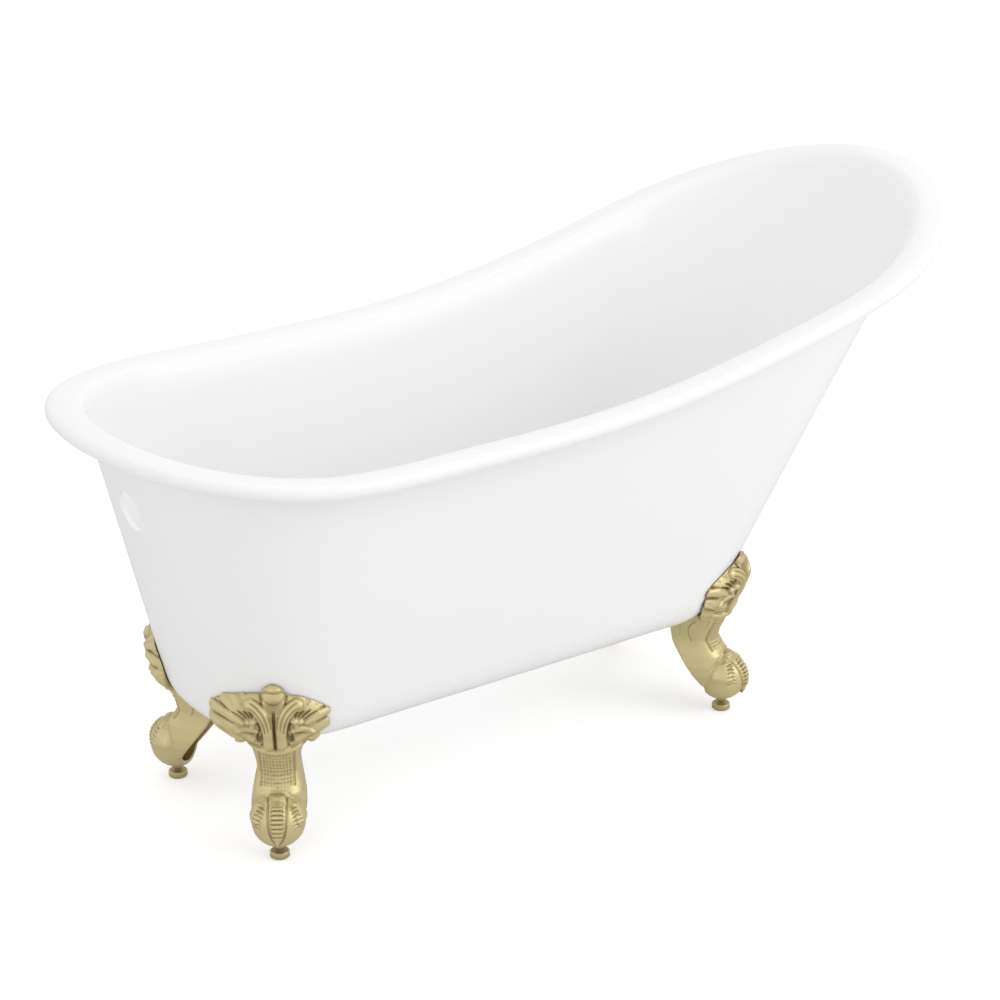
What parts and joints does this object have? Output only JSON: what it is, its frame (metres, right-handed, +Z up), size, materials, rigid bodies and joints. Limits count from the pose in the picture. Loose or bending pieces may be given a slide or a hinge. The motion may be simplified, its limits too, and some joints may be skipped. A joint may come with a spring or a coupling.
{
  "type": "clawfoot bathtub",
  "caption": "Single-slipper bathtub with a rolled rim, one raised sloping end, waste and overflow holes, and ball-and-claw feet with leafy crests and levelling screws.",
  "frame": {"origin": "on the floor under the middle of the tub, levelling screws in their rest place", "axes": "+Z up, +X towards the raised head end, -X towards the drain and overflow"},
  "size_m": [1.448, 0.637, 0.7984],
  "materials": {
    "enamel": "glossy white enamel inside and out",
    "foot_gold": "satin pale gold",
    "zinc": "zinc-plated steel"
  },
  "bodies": {
    "bath": {"tub": "enamel", "foot_drain_end_near": "foot_gold", "stud_drain_end_near": "zinc", "washer_drain_end_near": "zinc", "nut_drain_end_near": "zinc", "jam_nut_drain_end_near": "zinc", "foot_drain_end_far": "foot_gold", "stud_drain_end_far": "zinc", "washer_drain_end_far": "zinc", "nut_drain_end_far": "zinc", "jam_nut_drain_end_far": "zinc", "foot_head_end_near": "foot_gold", "stud_head_end_near": "zinc", "washer_head_end_near": "zinc", "nut_head_end_near": "zinc", "jam_nut_head_end_near": "zinc", "foot_head_end_far": "foot_gold", "stud_head_end_far": "zinc", "washer_head_end_far": "zinc", "nut_head_end_far": "zinc", "jam_nut_head_end_far": "zinc"},
    "levelling_screw_drain_end_near": {"levelling_screw_drain_end_near": "foot_gold"},
    "levelling_screw_drain_end_far": {"levelling_screw_drain_end_far": "foot_gold"},
    "levelling_screw_head_end_near": {"levelling_screw_head_end_near": "foot_gold"},
    "levelling_screw_head_end_far": {"levelling_screw_head_end_far": "foot_gold"}
  },
  "joints": [
    {"name": "level_drain_end_near", "type": "slide", "parent": "bath", "child": "levelling_screw_drain_end_near", "axis": [0, 0, -1], "range_m": [-0.002, 0.012]},
    {"name": "level_drain_end_far", "type": "slide", "parent": "bath", "child": "levelling_screw_drain_end_far", "axis": [0, 0, -1], "range_m": [-0.002, 0.012]},
    {"name": "level_head_end_near", "type": "slide", "parent": "bath", "child": "levelling_screw_head_end_near", "axis": [0, 0, -1], "range_m": [-0.002, 0.012]},
    {"name": "level_head_end_far", "type": "slide", "parent": "bath", "child": "levelling_screw_head_end_far", "axis": [0, 0, -1], "range_m": [-0.002, 0.012]}
  ]
}
